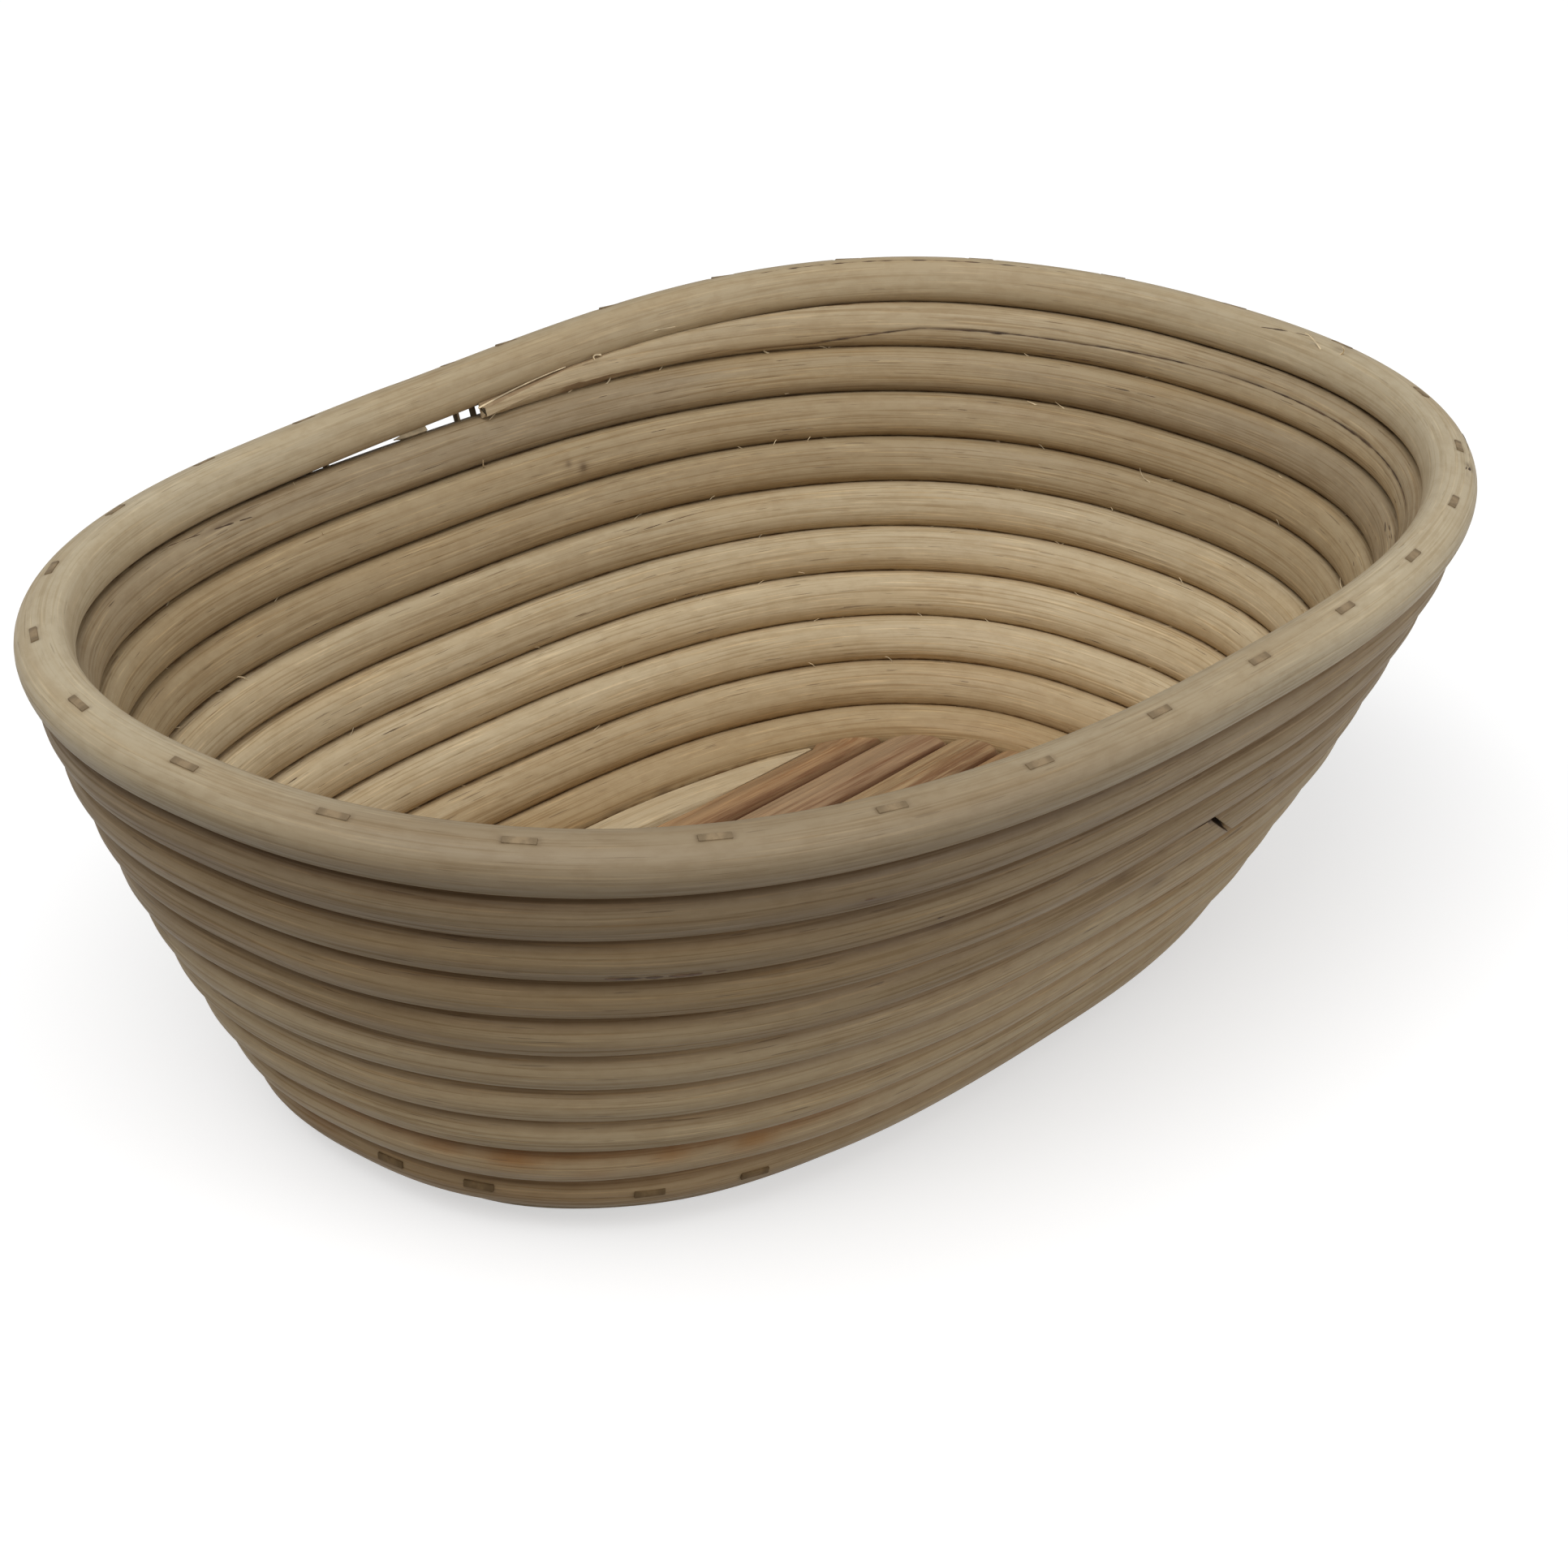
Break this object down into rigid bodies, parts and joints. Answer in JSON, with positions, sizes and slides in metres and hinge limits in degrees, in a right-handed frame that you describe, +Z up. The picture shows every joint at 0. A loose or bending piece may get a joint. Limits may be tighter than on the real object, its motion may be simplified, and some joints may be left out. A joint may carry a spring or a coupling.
{
  "type": "proofing basket",
  "caption": "Oval basket of spirally wound rattan cane with a stapled rim hoop and a floor of flattened cane strips, for holding bread dough while it rises.",
  "frame": {"origin": "on the underside of the floor strips, under the middle of the rim", "axes": "+X along the basket, towards the end that lies to the left of the spiral's tapered tip seen from outside; +Y towards the long side with the tip; +Z up"},
  "size_m": [0.264, 0.1806, 0.0875],
  "materials": {
    "wall_cane": "raw peeled rattan",
    "rim_cane": "raw peeled rattan, paler",
    "floor_cane_brown": "raw flattened rattan, reddish brown",
    "floor_cane_rose": "raw flattened rattan, rosy brown",
    "floor_cane_tan": "raw flattened rattan, tan",
    "staple_wire": "dull wire"
  },
  "bodies": {
    "root": {"floor_staple_01": "staple_wire", "floor_staple_02": "staple_wire", "floor_staple_03": "staple_wire", "floor_staple_04": "staple_wire", "floor_staple_05": "staple_wire", "floor_staple_06": "staple_wire", "floor_staple_07": "staple_wire", "floor_staple_08": "staple_wire", "floor_staple_09": "staple_wire", "floor_staple_10": "staple_wire", "floor_staple_11": "staple_wire", "floor_staple_12": "staple_wire", "floor_staple_13": "staple_wire", "floor_staple_14": "staple_wire", "floor_strip_1": "floor_cane_tan", "floor_strip_2": "floor_cane_rose", "floor_strip_3": "floor_cane_brown", "floor_strip_4": "floor_cane_tan", "floor_strip_5": "floor_cane_rose", "floor_strip_6": "floor_cane_brown", "floor_strip_7": "floor_cane_tan", "floor_strip_8": "floor_cane_rose", "floor_strip_9": "floor_cane_brown", "lower_wall_cane": "wall_cane", "rim_hoop": "rim_cane", "rim_staple_01": "staple_wire", "rim_staple_02": "staple_wire", "rim_staple_03": "staple_wire", "rim_staple_04": "staple_wire", "rim_staple_05": "staple_wire", "rim_staple_06": "staple_wire", "rim_staple_07": "staple_wire", "rim_staple_08": "staple_wire", "rim_staple_09": "staple_wire", "rim_staple_10": "staple_wire", "rim_staple_11": "staple_wire", "rim_staple_12": "staple_wire", "rim_staple_13": "staple_wire", "rim_staple_14": "staple_wire", "rim_staple_15": "staple_wire", "rim_staple_16": "staple_wire", "rim_staple_17": "staple_wire", "rim_staple_18": "staple_wire", "rim_staple_19": "staple_wire", "rim_staple_20": "staple_wire", "rim_staple_21": "staple_wire", "rim_staple_22": "staple_wire", "rim_staple_23": "staple_wire", "rim_staple_24": "staple_wire", "rim_staple_25": "staple_wire", "rim_staple_26": "staple_wire", "rim_staple_27": "staple_wire", "rim_staple_28": "staple_wire", "upper_wall_cane": "wall_cane", "wall_staple_01": "staple_wire", "wall_staple_02": "staple_wire", "wall_staple_03": "staple_wire", "wall_staple_04": "staple_wire"}
  },
  "joints": []
}
